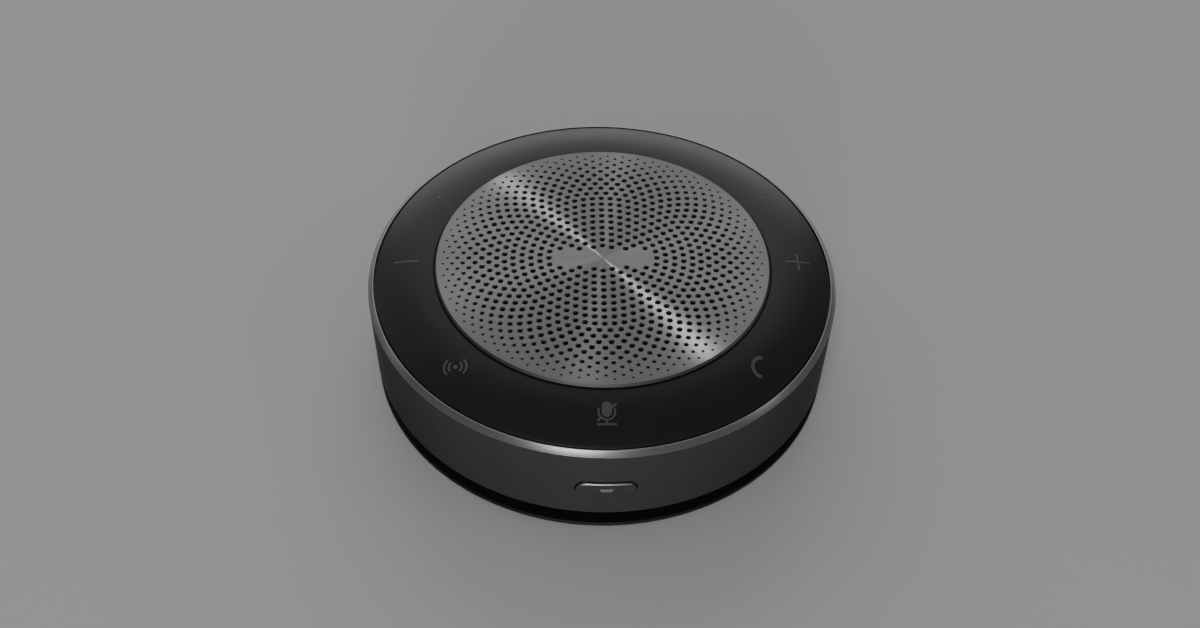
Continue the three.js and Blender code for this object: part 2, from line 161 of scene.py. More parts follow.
class Wave:
    # One socket of a material. Sums, products and quotients of it add Math nodes.
    def __init__(self, tree, socket):
        self.tree = tree
        self.socket = socket

    def node(self, kind, settings, sockets, output=0):
        # Adds a node: its settings are set first, then each socket gets a value or a link.
        made = self.tree.nodes.new("ShaderNode" + kind)
        for name, value in settings.items():
            setattr(made, name, value)
        for key, value in sockets.items():
            if isinstance(value, Wave):
                self.tree.links.new(value.socket, made.inputs[key])
            else:
                made.inputs[key].default_value = value
        return Wave(self.tree, made.outputs[output])

    def math(self, operation, first, second=0.0):
        return self.node("Math", {"operation": operation}, {0: first, 1: second})

    def __add__(self, other):
        return self.math("ADD", self, other)

    def __radd__(self, other):
        return self.math("ADD", other, self)

    def __mul__(self, other):
        return self.math("MULTIPLY", self, other)

    def __rmul__(self, other):
        return self.math("MULTIPLY", other, self)

    def __truediv__(self, other):
        return self.math("DIVIDE", self, other)

    def __rtruediv__(self, other):
        return self.math("DIVIDE", other, self)

    def sine(self):
        return self.math("SINE", self)

    def magnitude(self):
        return self.math("ABSOLUTE", self)

    def mix(self, low, high):
        # The colour low where the wave is 0, high where it is 1.
        return self.node("Mix", {"data_type": "RGBA"}, {0: self, 6: (*low, 1), 7: (*high, 1)}, 2)

    def noise(self, scale, detail=2.0, roughness=0.5):
        sockets = {"Vector": self, "Scale": scale, "Detail": detail, "Roughness": roughness}
        return self.node("TexNoise", {}, sockets)

    def noiseAlong(self, detail):
        sockets = {"W": self, "Scale": 1.0, "Detail": detail}
        return self.node("TexNoise", {"noise_dimensions": "1D"}, sockets)

    def cells(self, scale):
        return self.node("TexVoronoi", {}, {"Vector": self, "Scale": scale})

    def stretched(self, scales):
        return self.node("Mapping", {}, {"Vector": self, "Scale": scales})


class Finish:
    # A material with one Principled shader; point is the place on the object, x, y and z its metres.
    def __init__(self, name, constants):
        self.material = bpy.data.materials.new(name)
        self.material.use_nodes = True
        self.tree = self.material.node_tree
        self.shader = self.tree.nodes["Principled BSDF"]
        for socket, value in constants.items():
            self.shader.inputs[socket].default_value = value
        start = Wave(self.tree, None)
        self.point = start.node("TexCoord", {}, {}, "Object")
        self.x, self.y, self.z = (
            start.node("SeparateXYZ", {}, {0: self.point}, axis) for axis in ("X", "Y", "Z"))

    def radius(self):
        # Distance from the axis in mm: sqrt(x^2 + y^2).
        return self.point.math("SQRT", self.x * self.x + self.y * self.y) / mm

    def feed(self, colour, roughness=None):
        self.tree.links.new(colour.socket, self.shader.inputs["Base Color"])
        if roughness:
            self.tree.links.new(roughness.socket, self.shader.inputs["Roughness"])

    def bump(self, height, depth):
        # Raises the surface by depth metres for a height of one, and gives the finished material.
        made = height.node("Bump", {}, {"Distance": depth, "Height": height})
        self.tree.links.new(made.socket, self.shader.inputs["Normal"])
        return self.material


def turnedMetal():
    # Fine circular tool marks: noise along the radius alone, at two widths, shades the colour and the
    # roughness; the anisotropy, turned a quarter, stretches each highlight across the marks.
    f = Finish("turnedMetal", {"Metallic": 1.0, "Anisotropic": 1.0, "Anisotropic Rotation": 0.25})
    fine = (f.radius() * 7.0).noiseAlong(1.0)
    broad = (f.radius() * 0.8).noiseAlong(2.0)
    marks = fine * 0.6 + broad * 0.4
    f.feed(colour=marks.mix((0.275, 0.275, 0.28), (0.385, 0.385, 0.395)), roughness=marks * 0.06 + 0.27)
    return f.bump(fine, 0.004 * mm)


def satinTouch():
    # Smooth satin plastic: a faint cloudiness in the roughness and a very fine grain.
    f = Finish("satinTouch", {"Specular IOR Level": 0.5})
    cloud = f.point.noise(140.0, 3.0)
    grain = f.point.noise(7000.0, 1.0)
    f.feed(colour=cloud.mix((0.014, 0.014, 0.0145), (0.018, 0.018, 0.0185)), roughness=cloud * 0.06 + 0.37)
    return f.bump(grain, 0.0015 * mm)


def anodised():
    # Bead-blasted and dyed metal: fine round grain in the bump, slow drift in the colour.
    f = Finish("anodised", {"Metallic": 1.0, "Specular Tint": (0.32, 0.32, 0.32, 1.0)})
    grain = f.point.noise(5200.0, 2.0)
    drift = f.point.noise(60.0, 2.0)
    f.feed(colour=drift.mix((0.145, 0.145, 0.146), (0.170, 0.170, 0.171)), roughness=grain * 0.08 + 0.40)
    return f.bump(grain, 0.003 * mm)


def polishedEdge():
    # Diamond-cut bevel: bright metal with faint lines that run round the part. On the power button it
    # covers only the top of the cap's edge, as a painted highlight.
    f = Finish("polishedEdge", {"Metallic": 1.0})
    lines = (f.z * (2.5 / mm)).noiseAlong(1.0)
    f.feed(colour=lines.mix((0.45, 0.45, 0.455), (0.54, 0.54, 0.545)), roughness=lines * 0.06 + 0.23)
    return f.bump(lines, 0.0001 * mm)


def mouldedBlack():
    # Spark-textured moulded plastic: fine noise bump, a slow change of gloss.
    f = Finish("mouldedBlack", {"Specular IOR Level": 0.4})
    spark = f.point.noise(3800.0, 3.0)
    slow = f.point.noise(90.0, 2.0)
    f.feed(colour=slow.mix((0.006, 0.006, 0.0062), (0.010, 0.010, 0.0102)), roughness=slow * 0.12 + 0.48)
    return f.bump(spark, 0.012 * mm)


def rubber():
    # Matt rubber: chalky patches over a fine grain.
    f = Finish("rubber", {"Specular IOR Level": 0.25})
    patch = f.point.noise(220.0, 4.0)
    grain = f.point.noise(2600.0, 3.0)
    f.feed(colour=patch.mix((0.009, 0.009, 0.009), (0.018, 0.018, 0.0175)), roughness=patch * 0.12 + 0.78)
    return f.bump(grain, 0.02 * mm)


def foam():
    # Open foam: the distance to the nearest of many scattered points gives small cells.
    f = Finish("foam", {"Specular IOR Level": 0.2, "Roughness": 0.95})
    cells = f.point.cells(1900.0)
    f.feed(colour=cells.mix((0.008, 0.008, 0.009), (0.035, 0.035, 0.037)))
    return f.bump(cells, 0.08 * mm)


def acousticCloth():
    # Plain weave: |sin| ridges of the two thread directions, one over the other.
    f = Finish("acousticCloth", {"Specular IOR Level": 0.2, "Roughness": 0.9})
    pitch = np.pi / (0.22 * mm)
    warp = (f.x * pitch).sine().magnitude()
    weft = (f.y * pitch).sine().magnitude()
    weave = f.point.math("MAXIMUM", warp, weft)
    f.feed(colour=weave.mix((0.002, 0.002, 0.002), (0.006, 0.006, 0.0062)))
    return f.bump(weave, 0.05 * mm)


def steel():
    # Rolled steel: streaks stretched along x, with duller spots.
    f = Finish("steel", {"Metallic": 1.0})
    streak = f.point.stretched((300.0, 4200.0, 2400.0)).noise(1.0, 3.0)
    spots = f.point.noise(500.0, 3.0)
    f.feed(colour=spots.mix((0.38, 0.385, 0.39), (0.50, 0.505, 0.51)), roughness=streak * 0.2 + 0.24)
    return f.bump(streak, 0.004 * mm)


def ferrite():
    # Ground ferrite: dark grey with coarse grains and small chips of shine.
    f = Finish("ferrite", {"Specular IOR Level": 0.5})
    grains = f.point.cells(900.0)
    f.feed(colour=grains.mix((0.022, 0.022, 0.023), (0.055, 0.054, 0.053)), roughness=grains * 0.3 + 0.5)
    return f.bump(grains, 0.02 * mm)


def copper():
    # Wound wire: a ridge for each turn, |sin| of the height, lacquered.
    f = Finish("copper", {"Metallic": 1.0, "Roughness": 0.28})
    pitch = np.pi / (0.2 * mm)
    turns = (f.z * pitch).sine().magnitude()
    f.feed(colour=turns.mix((0.22, 0.07, 0.03), (0.72, 0.32, 0.16)))
    return f.bump(turns, 0.05 * mm)


def circuitBoard():
    # Solder mask over copper: the joints of a brick grid read as tracks, over a mottled green.
    f = Finish("circuitBoard", {"Specular IOR Level": 0.5})
    tracks = f.point.node("TexBrick", {}, {"Vector": f.point, "Scale": 130.0, "Mortar Size": 0.05}, "Fac")
    mottled = f.point.noise(800.0, 2.0)
    level = tracks * 0.7 + mottled * 0.3
    f.feed(colour=level.mix((0.006, 0.042, 0.020), (0.020, 0.110, 0.055)), roughness=mottled * 0.15 + 0.3)
    return f.bump(tracks, 0.03 * mm)


def paperCone():
    # Pressed paper: long soft fibres, a noise drawn out along x, near black.
    f = Finish("paperCone", {"Specular IOR Level": 0.25})
    fibre = f.point.stretched((500.0, 2600.0, 900.0)).noise(1.0, 5.0)
    f.feed(colour=fibre.mix((0.008, 0.008, 0.009), (0.024, 0.024, 0.025)), roughness=fibre * 0.15 + 0.75)
    return f.bump(fibre, 0.04 * mm)


def kapton():
    # Amber film: even gloss with a slow change of depth in its colour.
    f = Finish("kapton", {"Specular IOR Level": 0.5})
    depth = f.point.noise(260.0, 2.0)
    f.feed(colour=depth.mix((0.28, 0.085, 0.012), (0.42, 0.15, 0.03)), roughness=depth * 0.1 + 0.25)
    return f.bump(depth, 0.01 * mm)


def spiderCloth():
    # Resin-stiffened cloth: |sin x sin y|, a fine woven grid in tan.
    f = Finish("spiderCloth", {"Specular IOR Level": 0.2, "Roughness": 0.85})
    pitch = np.pi / (0.3 * mm)
    weave = ((f.x * pitch).sine() * (f.y * pitch).sine()).magnitude()
    f.feed(colour=weave.mix((0.26, 0.14, 0.045), (0.46, 0.28, 0.10)))
    return f.bump(weave, 0.05 * mm)


def batteryWrap():
    # Laminate pouch: silver with soft creases.
    f = Finish("batteryWrap", {"Metallic": 0.6})
    crease = f.point.noise(160.0, 4.0, 0.6)
    f.feed(colour=crease.mix((0.24, 0.27, 0.31), (0.38, 0.41, 0.45)), roughness=crease * 0.2 + 0.3)
    return f.bump(crease, 0.15 * mm)


def clearPlastic(name, low, high):
    # Frosted light guide: a milky shade with a slight cloudiness.
    f = Finish(name, {"Specular IOR Level": 0.5})
    cloud = f.point.noise(900.0, 2.0)
    f.feed(colour=cloud.mix(low, high), roughness=cloud * 0.1 + 0.4)
    return f.bump(cloud, 0.004 * mm)


def wireSkin(name, low, high):
    # Insulation: two close shades with a light waxy grain.
    f = Finish(name, {"Specular IOR Level": 0.5})
    grain = f.point.noise(1500.0, 2.0)
    f.feed(colour=grain.mix(low, high), roughness=grain * 0.12 + 0.32)
    return f.bump(grain, 0.01 * mm)


def symbolInk():
    # Screen-printed grey ink: nearly even, with pinholes of density.
    f = Finish("symbolInk", {"Specular IOR Level": 0.4})
    density = f.point.noise(2500.0, 3.0)
    f.feed(colour=density.mix((0.115, 0.115, 0.117), (0.145, 0.145, 0.147)), roughness=density * 0.1 + 0.5)
    return f.bump(density, 0.003 * mm)


finishOf = {
    "black_plastic": mouldedBlack(), "touch_black": satinTouch(), "anodised_band": anodised(),
    "turned_grille": turnedMetal(), "rubber": rubber(), "foam": foam(),
    "acoustic_cloth": acousticCloth(), "steel": steel(), "ferrite": ferrite(), "copper": copper(),
    "circuit_board": circuitBoard(), "paper_cone": paperCone(), "kapton": kapton(),
    "spider_cloth": spiderCloth(), "battery_wrap": batteryWrap(),
    "clear_plastic": clearPlastic("smokedLight", (0.150, 0.150, 0.152), (0.200, 0.200, 0.202)),
    "red_wire": wireSkin("redWire", (0.25, 0.008, 0.006), (0.38, 0.016, 0.012)),
    "black_wire": wireSkin("blackWire", (0.006, 0.006, 0.006), (0.012, 0.012, 0.012)),
}
edgeFinish, inkFinish = polishedEdge(), symbolInk()
slitFinish = clearPlastic("milkyLight", (0.26, 0.26, 0.262), (0.34, 0.34, 0.342))
print("finishes made:", len(bpy.data.materials))


def weld(mesh, sharp):
    # Points that meet are merged, faces turned to point out, and edges past the angle kept crisp.
    work = bmesh.new()
    work.from_mesh(mesh)
    bmesh.ops.remove_doubles(work, verts=work.verts, dist=0.0005 * mm)
    bmesh.ops.recalc_face_normals(work, faces=work.faces)
    work.to_mesh(mesh)
    work.free()
    mesh.polygons.foreach_set("use_smooth", [True] * len(mesh.polygons))
    mesh.set_sharp_from_angle(angle=math.radians(sharp))


def makeMesh(name, parts, finishes, sharp):
    # parts is a list of (points, faces) or (points, faces, finish numbers); points that no face uses
    # are dropped.
    points, faces, numbers, start = [], [], [], 0
    for part in parts:
        used, corners = np.unique(np.asarray(part[1]), return_inverse=True)
        points.append(part[0][used])
        faces += (corners.reshape(np.shape(part[1])) + start).tolist()
        numbers += np.broadcast_to(part[2] if len(part) > 2 else 0, len(part[1])).tolist()
        start += len(used)
    mesh = bpy.data.meshes.new(name)
    mesh.from_pydata(np.concatenate(points).tolist(), [], faces)
    for finish in finishes:
        mesh.materials.append(finish)
    mesh.polygons.foreach_set("material_index", numbers)
    weld(mesh, sharp)
    piece = bpy.data.objects.new(name, mesh)
    bpy.context.scene.collection.objects.link(piece)
    return piece


def addPiece(name, parts, slot, body="housing", stands=(), finishes=None, sharp=35.0):
    piece = makeMesh(name, parts, finishes or [finishOf[slot]], sharp)
    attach(piece, body)
    if stands:
        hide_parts(*stands)
    return piece


def gridFaces(rows, columns, closedColumns):
    # Quads of a grid of points numbered row * columns + column.
    i, j = np.meshgrid(np.arange(rows - 1), np.arange(columns if closedColumns else columns - 1),
                       indexing="ij")
    k = (j + 1) % columns
    corners = [i * columns + j, i * columns + k, (i + 1) * columns + k, (i + 1) * columns + j]
    return np.stack(corners, -1).reshape(-1, 4)


def turned(profile, count=360, closed=True, start=0.0, sweep=turn):
    # Point (i, j) is profile point i spun to angle a_j: (r cos a, r sin a, z). A closed profile,
    # listed anticlockwise, gives faces that point out.
    profile = np.asarray(profile, float)
    if closed:
        profile = np.concatenate([profile, profile[:1]])
    whole = sweep == turn
    angle = start + sweep * np.arange(count if whole else count + 1) / count
    r, z = profile[:, :1], profile[:, 1:]
    points = np.stack([r * np.cos(angle), r * np.sin(angle), z + 0 * angle], -1)
    return points.reshape(-1, 3), gridFaces(len(profile), len(angle), whole)


def rounded(corners, steps=5, closed=True):
    # Outline in mm through (r, z, fillet) corners, each corner an arc of its fillet: the arc's centre
    # is fillet / sin(half angle) along the bisector, and its ends are tangent to both sides.
    corners = np.array(corners, float)
    spots = corners[:, :2]
    line = []
    for n, (spot, fillet) in enumerate(zip(spots, corners[:, 2])):
        atEnd = not closed and n in (0, len(spots) - 1)
        if fillet <= 0 or atEnd:
            line.append(spot[None])
            continue
        before = spots[n - 1] - spot
        after = spots[(n + 1) % len(spots)] - spot
        before, after = before / np.hypot(*before), after / np.hypot(*after)
        half = np.arccos(np.clip(before @ after, -1, 1)) / 2
        bisector = (before + after) / np.hypot(*(before + after))
        centre = spot + bisector * fillet / np.sin(half)
        first = spot + before * fillet / np.tan(half) - centre
        last = spot + after * fillet / np.tan(half) - centre
        share = np.linspace(0, 1, steps + 1)[:, None]
        spread = np.arccos(np.clip(first @ last / fillet ** 2, -1, 1))
        arc = (np.sin((1 - share) * spread) * first + np.sin(share * spread) * last) / np.sin(spread)
        line.append(centre + arc)
    return np.concatenate(line) * mm


def pillReach(direction, length, height):
    # Distance from the centre of a slot outline to its edge along unit directions (mm): the flat side
    # where it is met first, else the round end, t = a c + sqrt(r^2 - a^2 s^2).
    r, a = height / 2, (length - height) / 2
    c, s = np.abs(direction[:, 0]), np.abs(direction[:, 1])
    side = r / np.maximum(s, 1e-9)
    end = a * c + np.sqrt(np.maximum(r * r - (a * s) ** 2, 0))
    return np.where(side * c <= a, side, end)


def wedgeReach(direction, top, bottom, height):
    # The same for a trapezoid light of those widths: the least positive distance to its four sides.
    slope = (top - bottom) / 2 / height
    normals = np.array([[0, 1], [0, -1], [1, -slope], [-1, -slope]])
    limits = np.array([height / 2, height / 2, (top + bottom) / 4, (top + bottom) / 4])
    across = direction @ normals.T
    return np.where(across > 1e-9, limits / np.maximum(across, 1e-9), 1e9).min(1)


def panel(us, vs, place, windows, flip=False):
    # Sheet place(u, v) over a ring of us and a row of vs. Each window leaves out the cells from
    # column c0 to c1 and row r0 to r1 and fills them with rings that run from their edge to a hole:
    # ring t is (1 - t) edge + t hole. Returns points, faces, and the hole's points for each window.
    columns, rows = len(us), len(vs)
    gridU, gridV = np.meshgrid(us, vs)
    points = [place(gridU.ravel(), gridV.ravel())]
    faces = gridFaces(rows, columns, True)
    cellRow, cellColumn = np.divmod(np.arange(len(faces)), columns)
    keep = np.ones(len(faces), bool)
    patches, holes, total = [], [], columns * rows
    for window in windows:
        (c0, c1), (r0, r1) = window["columns"], window["rows"]
        inside = ((cellColumn - c0) % columns < c1 - c0) & (cellRow >= r0) & (cellRow < r1)
        keep &= ~inside
        right, up = np.arange(c0, c1), np.arange(r0, r1)
        column = np.concatenate([right, np.full(len(up), c1), right[::-1] + 1, np.full(len(up), c0)])
        row = np.concatenate([np.full(len(right), r0), up, np.full(len(right), r1), up[::-1] + 1])
        step = us[1] - us[0]
        edge = np.stack([us[0] + column * step, vs[row]], -1)
        centre, scale = np.array(window["centre"]), np.array(window["scale"])
        direction = (edge - centre) * scale
        direction = direction / np.linalg.norm(direction, axis=1, keepdims=True)
        hole = centre + direction * (window["reach"](direction) * mm)[:, None] / scale
        share = np.linspace(0, 1, window["rings"] + 1)[:, None, None]
        ring = (1 - share) * edge + share * hole
        points.append(place(ring[..., 0].ravel(), ring[..., 1].ravel()))
        patches.append(gridFaces(len(share), len(edge), True) + total)
        total += len(points[-1])
        holes.append(points[-1][-len(edge):])
    faces = np.concatenate([faces[keep], *patches])
    return np.concatenate(points), faces[:, ::-1] if flip else faces, holes


def ringed(rings, closedStart=False, closedEnd=False):
    # Surface through rings of points, one array each, with a fan to the middle at a closed end.
    stack = [np.asarray(ring, float) for ring in rings]
    if closedStart:
        stack.insert(0, np.repeat(stack[0].mean(0)[None], len(stack[0]), 0))
    if closedEnd:
        stack.append(np.repeat(stack[-1].mean(0)[None], len(stack[-1]), 0))
    return np.concatenate(stack), gridFaces(len(stack), len(stack[0]), True)


def addFloor():
    # One pale square on the table's plane, with a slow drift of tone.
    half = floor["half"]
    mesh = bpy.data.meshes.new("floor")
    corners = [(-half, -half, 0), (half, -half, 0), (half, half, 0), (-half, half, 0)]
    mesh.from_pydata(corners, [], [(0, 1, 2, 3)])
    f = Finish("paleFloor", {"Specular IOR Level": 0.2})
    light = tuple(c * floor["paler"] for c in floor["colour"])
    f.feed(colour=f.point.noise(3.0).mix(floor["colour"], light), roughness=f.point.noise(40.0) * 0.1 + 0.7)
    mesh.materials.append(f.material)
    ground = bpy.data.objects.new("floor", mesh)
    bpy.context.scene.collection.objects.link(ground)


addCamera()
addLights()
addFloor()
print("stage set")


grille = {
    "skirt": 1.0,          # mm, width of the rim that hangs under the plate
    "plate": 0.8,
    "grow": 0.12,          # the visible plate fills more of its opening than the solid does
    "proud": 0.15,         # and stands a little above the ring, so that its bevel shows
    "edge": 0.5,           # width of the bevel round its top
    "pitch": 2.3,          # between the inner rings of holes
    "innerRings": 10,      # ring k holds 6 k holes
    "outerHoles": 60,      # in each of the outer rings, every other one turned half a step
    "outerRings": 11,
    "firstStep": 2.12, "stepLoss": 0.102,   # spacing of the outer rings
    "hole": 1.46,          # diameter of the inner holes
    "shrinkFrom": 14, "shrink": (0.085, 0.0058),   # ring, and how fast the holes shrink past it
    "bevel": 0.05,         # round each hole
    "sides": 14,           # of each hole
    "footFillet": 0.1, "topFillet": 0.06,
    "plain": (12.5, 3.0),  # half width and half depth of the patch without holes
}


def holePattern():
    # Ring k of the inner rings lies at k pitches with 6 k holes; outer ring j follows at steps
    # firstStep - stepLoss j. Past shrinkFrom, j rings on, the diameter falls by a j + b j^2.
    k = np.arange(2, grille["innerRings"] + grille["outerRings"] + 1)
    j = np.arange(grille["outerRings"])
    inner = grille["pitch"] * k[:grille["innerRings"] - 1]
    outer = inner[-1] + np.cumsum(grille["firstStep"] - grille["stepLoss"] * j)
    radius = np.concatenate([inner, outer])
    count = np.minimum(6 * k, grille["outerHoles"])
    shift = np.where((k > grille["innerRings"]) & (k % 2 == 1), 0.5, 0.0)
    past = np.maximum(k - grille["shrinkFrom"], 0)
    diameter = grille["hole"] - grille["shrink"][0] * past - grille["shrink"][1] * past ** 2
    step = np.concatenate([np.arange(n) for n in count])
    radius, shift, diameter, n = (np.repeat(a, count) for a in (radius, shift, diameter, count))
    angle = turn / 4 + turn * (step + shift) / n
    x, y = radius * np.cos(angle), radius * np.sin(angle)
    kept = (np.abs(x) > grille["plain"][0]) | (np.abs(y) > grille["plain"][1])
    return x[kept] * mm, y[kept] * mm, diameter[kept] / 2 * mm


def addGrille():
    # The plate's top is a flat triangulation between its outer circle and the holes. The same
    # triangles, turned over, close the underside, walls of quads line the holes, and a turned
    # outline makes the bevelled rim, in the band's dark metal as painted shade on the bevel.
    x, y, radius = holePattern()
    sides, rim = grille["sides"], aroundBody
    outer, top = grilleHigh.x + grille["grow"] * mm, grilleHigh.z + grille["proud"] * mm
    low = top - grille["plate"] * mm
    bevel, edge = grille["bevel"] * mm, grille["edge"] * mm
    a = turn * np.arange(sides) / sides
    b = turn * np.arange(rim) / rim

    def layer(rimRadius, grown, z):
        flat = np.stack([x[:, None] + (radius[:, None] + grown) * np.cos(a),
                         y[:, None] + (radius[:, None] + grown) * np.sin(a)], -1).reshape(-1, 2)
        circle = rimRadius * np.stack([np.cos(b), np.sin(b)], -1)
        whole = np.concatenate([circle, flat])
        return np.column_stack([whole, np.full(len(whole), z)])

    layers = [layer(outer - edge, bevel, top), layer(outer, 0, top - bevel),
              layer(outer - grille["skirt"] * mm, 0, low)]
    size = len(layers[0])
    loops = rim + np.arange(len(x) * sides).reshape(len(x), sides)
    following = np.roll(loops, -1, axis=1)
    circle = np.arange(rim)
    edges = np.concatenate([np.stack([circle, np.roll(circle, -1)], -1),
                            np.stack([loops.ravel(), following.ravel()], -1)])
    _, _, triangles, *_ = delaunay_2d_cdt(
        [Vector(p) for p in layers[0][:, :2].tolist()], edges.tolist(),
        [circle.tolist()] + loops.tolist(), 0, 1e-9)
    triangles = np.array(triangles)
    owner = np.where(triangles < rim, -1, (triangles - rim) // sides)
    inHole = (owner[:, 0] >= 0) & (owner[:, 0] == owner[:, 1]) & (owner[:, 1] == owner[:, 2])
    triangles = triangles[~inHole]
    walls = [np.stack([loops + i * size, following + i * size, following + (i + 1) * size,
                       loops + (i + 1) * size], -1).reshape(-1, 4) for i in (0, 1)]
    plate = np.concatenate(layers)
    side, inside, slope = outer / mm, outer / mm - grille["skirt"], grille["edge"]
    rimLine = rounded([(inside, low / mm, 0), (inside, grilleLow.z / mm, 0),
                       (side, grilleLow.z / mm, grille["footFillet"]),
                       (side, top / mm - slope, grille["topFillet"]), (side - slope, top / mm, 0)],
                      closed=False)
    # Painted shade: the rim outline, bevel included, takes finish 1, the band's dark anodised metal, not the
    # plate's turned metal.
    parts = [(plate, triangles), (plate, triangles[:, ::-1] + 2 * size), *[(plate, wall) for wall in walls],
             (*turned(rimLine, rim, closed=False), 1)]
    addPiece("speakerGrille", parts, "turned_grille", stands=["grille"], sharp=28,
             finishes=[finishOf["turned_grille"], finishOf["anodised_band"]])


addGrille()


def addCloth():
    # Disc of woven mesh under the plate, flat but for its rolled edge.
    low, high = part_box("grille_cloth")
    radius, bottom, top, roll = high.x / mm, low.z / mm, high.z / mm, 0.08
    outline = rounded([(0, bottom, 0), (radius, bottom, roll), (radius, top, roll), (0, top, 0)],
                      closed=False)
    piece = addPiece("grilleCloth", [turned(outline, 180, closed=False)], "acoustic_cloth",
                     stands=["grille_cloth"], sharp=60)


addCloth()
print("grille and cloth made")


ring = {
    "inner": 43.1,         # mm, radius of the opening round the grille
    "dome": 40.0,          # radius of the arc of its top, level at the opening
    "wall": 1.6,
    "shelfInner": 39.8, "shelfLow": 29.6, "shelfHigh": 30.6,
    "skirtInner": 56.6, "roofInner": 44.4,
    "mouth": 0.25,         # width of the rounded edge at the opening
    "mouthFillet": 0.2,
    "edge": 0.18, "edgeDrop": 0.12, "edgeFillet": 0.05,   # of the outer edge
    "rows": 20,
    "lightCircle": 50.3, "lightRadius": 0.42, "lightHole": 0.47,
    "lightAngles": (30, 60, 90, 120, 150),                # degrees
    "guideHalf": 1.3, "guideThick": 0.5, "guideSteps": 80,
    "pinSunk": 0.02, "pinEdge": 0.08, "pinSides": 16,
}


def domeHeight(r):
    # Height of the ring's top at radius r: z = top - dome + sqrt(dome^2 - (r - inner)^2).
    dome, inner = ring["dome"] * mm, ring["inner"] * mm
    return ringHigh.z - dome + np.sqrt(dome ** 2 - (r - inner) ** 2)


def addTouchRing():
    # Dome and underside are panels over angle and radius with a round hole for each light, joined by
    # short tunnels. Turned outlines carry the shelf under the grille and the outer skirt.
    columns = aroundBody
    inner, outer, mouth, edge = ring["inner"], ringHigh.x / mm, ring["mouth"], ring["edge"]
    us = turn * np.arange(columns) / columns
    circle = ring["lightCircle"] * mm

    def lightReach(way):
        return np.full(len(way), ring["lightHole"])

    def face(first, last, sunk, flip):
        def place(u, v):
            return np.stack([v * np.cos(u), v * np.sin(u), domeHeight(v) - sunk * mm], -1)

        vs = np.linspace(first, last, ring["rows"]) * mm
        row = int(np.argmin(np.abs(vs - circle)))
        windows = [{"columns": (degrees - 2, degrees + 2), "rows": (row - 2, row + 2), "rings": 4,
                    "centre": (math.radians(degrees), circle), "scale": (circle, 1.0), "reach": lightReach}
                   for degrees in ring["lightAngles"]]
        return panel(us, vs, place, windows, flip)

    def heightAt(r):
        return float(domeHeight(r * mm)) / mm

    topPoints, topFaces, topHoles = face(outer - edge, inner + mouth, 0, False)
    underOuter, underInner = ring["skirtInner"], ring["roofInner"]
    lowPoints, lowFaces, lowHoles = face(underOuter, underInner, ring["wall"], True)
    tunnels = [ringed([top, low]) for top, low in zip(topHoles, lowHoles)]
    shelf = rounded([(inner + mouth, heightAt(inner + mouth), 0),
                     (inner, ringHigh.z / mm, ring["mouthFillet"]),
                     (inner, ring["shelfHigh"], 0), (ring["shelfInner"], ring["shelfHigh"], 0.1),
                     (ring["shelfInner"], ring["shelfLow"], 0), (underInner, ring["shelfLow"], 0),
                     (underInner, heightAt(underInner) - ring["wall"], 0)], closed=False)
    skirt = rounded([(underOuter, heightAt(underOuter) - ring["wall"], 0), (underOuter, ringLow.z / mm, 0),
                     (outer, ringLow.z / mm, 0),
                     (outer, heightAt(outer - edge) - ring["edgeDrop"], ring["edgeFillet"]),
                     (outer - edge, heightAt(outer - edge), 0)], closed=False)
    addPiece("touchRing", [(topPoints, topFaces), (lowPoints, lowFaces), *tunnels,
                           turned(shelf, columns, closed=False), turned(skirt, columns, closed=False)],
             "touch_black", stands=["touch_ring"], sharp=32)


addTouchRing()


def addLightGuide():
    # Clear pins that end flush in the dome, and the arc that feeds them.
    circle, half, steps = ring["lightCircle"], ring["guideHalf"], ring["guideSteps"]
    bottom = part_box("light_guide")[0].z / mm
    roof = bottom + ring["guideThick"]
    first = math.radians(ring["lightAngles"][0] - 3)
    outline = np.array([(circle - half, bottom), (circle + half, bottom), (circle + half, roof),
                        (circle - half, roof)]) * mm
    points, faces = turned(outline, steps, start=first, sweep=turn / 2 - 2 * first)
    corner = np.arange(4) * (steps + 1)
    parts = [(points, faces), (points, np.array([corner, corner[::-1] + steps]))]
    height, thick, foot = float(domeHeight(circle * mm)) / mm, ring["lightRadius"], roof - 0.1
    pin = rounded([(0, foot, 0), (thick, foot, 0), (thick, height - ring["pinSunk"], ring["pinEdge"]),
                   (0, height, 0)], closed=False)
    points, faces = turned(pin, ring["pinSides"], closed=False)
    for a in np.radians(ring["lightAngles"]):
        parts.append((points + np.array([math.cos(a), math.sin(a), 0]) * circle * mm, faces))
    addPiece("lightGuide", parts, "clear_plastic", stands=["light_guide"], sharp=40)


addLightGuide()


symbols = {
    "stroke": 0.46,        # mm, width of the thin lines
    "proud": 0.02,         # above the dome
    "layer": 0.004,        # each stroke of a symbol lies this much above the one before
    "depth": 0.06,         # thickness of the ink body
    "circle": 50.3,
    "across": 5,           # points across a stroke
}


